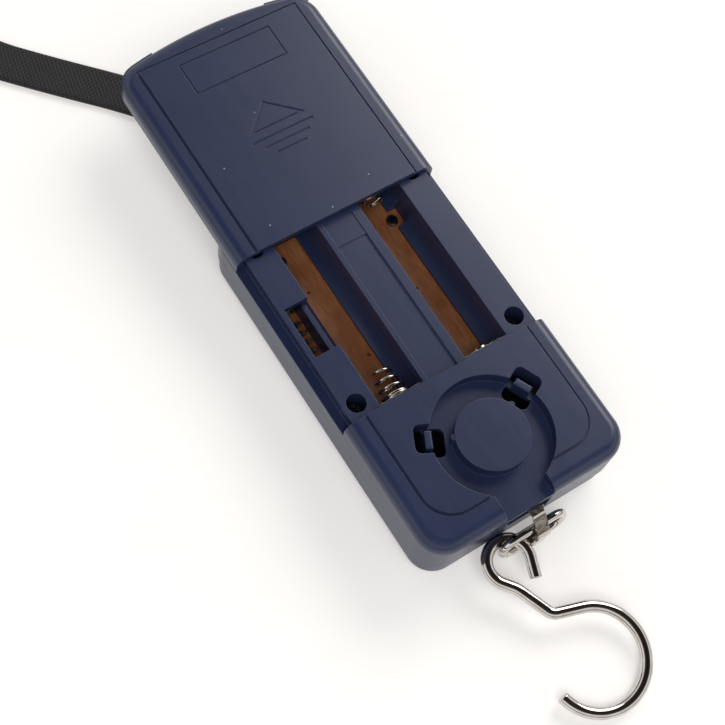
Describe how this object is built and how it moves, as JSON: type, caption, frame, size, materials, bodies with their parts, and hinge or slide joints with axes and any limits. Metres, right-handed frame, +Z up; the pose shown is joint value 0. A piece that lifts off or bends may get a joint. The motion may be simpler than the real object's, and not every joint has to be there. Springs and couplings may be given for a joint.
{
  "type": "digital fish scale",
  "caption": "Hand-held digital hanging scale with a wire hook, wrist strap and sliding battery cover, lying face down with its battery bays open.",
  "frame": {"origin": "middle of the display face, on the surface that the scale lies on", "axes": "+Z up out of the battery side, +Y towards the strap end, +X to the right seen from the battery side"},
  "size_m": [0.1038, 0.3365, 0.0217],
  "materials": {
    "navy_abs": "fine moulded satin",
    "black_steel": "black oxide",
    "clear_acrylic": "clear moulded acrylic",
    "lcd_glass": "grey-green liquid crystal glass",
    "silicone": "matt silicone",
    "phenolic_board": "brown phenolic paper board",
    "black_plastic": "moulded epoxy",
    "button_plastic": "moulded light grey",
    "nickel_plate": "nickel plated sheet",
    "spring_steel": "nickel plated wire",
    "cell_aluminium": "milled",
    "gauge_foil": "polyimide foil",
    "chrome_wire": "bright chrome plated wire",
    "black_webbing": "flat woven nylon"
  },
  "bodies": {
    "case": {"front_case": "navy_abs", "rear_case": "navy_abs", "case_screws": "black_steel", "display_lens": "clear_acrylic", "display_module": "lcd_glass", "display_connector": "silicone", "circuit_board": "phenolic_board", "board_screws": "black_steel", "controller_chip": "black_plastic", "header_base": "black_plastic", "header_pins": "nickel_plate", "keypad": "silicone", "contact_negative": "nickel_plate", "contact_positive": "nickel_plate", "contact_bridge": "nickel_plate", "contact_spring_plate": "nickel_plate", "spring_left": "spring_steel", "spring_right": "spring_steel", "load_cell": "cell_aluminium", "load_cell_screws": "black_steel", "strain_gauges": "gauge_foil", "pull_band": "nickel_plate", "band_rivet": "nickel_plate", "strap_pin": "chrome_wire", "strap_eye": "black_webbing", "webbing_strap": "black_webbing", "strap_keeper": "black_plastic"},
    "cover": {"battery_cover": "navy_abs"},
    "button_unit": {"button_unit": "button_plastic"},
    "button_power": {"button_power": "button_plastic"},
    "button_tare": {"button_tare": "button_plastic"},
    "link": {"oval_link": "chrome_wire"},
    "hook": {"hook": "chrome_wire"}
  },
  "joints": [
    {"name": "cover_slide", "type": "slide", "parent": "case", "child": "cover", "axis": [0, 1, 0], "range_m": [-0.047, 0.013]},
    {"name": "button_unit_press", "type": "slide", "parent": "case", "child": "button_unit", "axis": [0, 0, 1], "range_m": [0, 0.0008], "stiffness_N_per_m": 900, "springref_m": -0.0004},
    {"name": "button_power_press", "type": "slide", "parent": "case", "child": "button_power", "axis": [0, 0, 1], "range_m": [0, 0.0008], "stiffness_N_per_m": 900, "springref_m": -0.0004},
    {"name": "button_tare_press", "type": "slide", "parent": "case", "child": "button_tare", "axis": [0, 0, 1], "range_m": [0, 0.0008], "stiffness_N_per_m": 900, "springref_m": -0.0004},
    {"name": "link_swing", "type": "hinge", "parent": "case", "child": "link", "pos_m": [0, -0.05368, 0.00413], "axis": [1, 0, 0], "range_deg": [-12, 3]},
    {"name": "hook_swing", "type": "hinge", "parent": "link", "child": "hook", "pos_m": [-0.0089, -0.0559, 0.00711], "axis": [0, -0.1374, 0.9905], "range_deg": [-60, 25]}
  ]
}
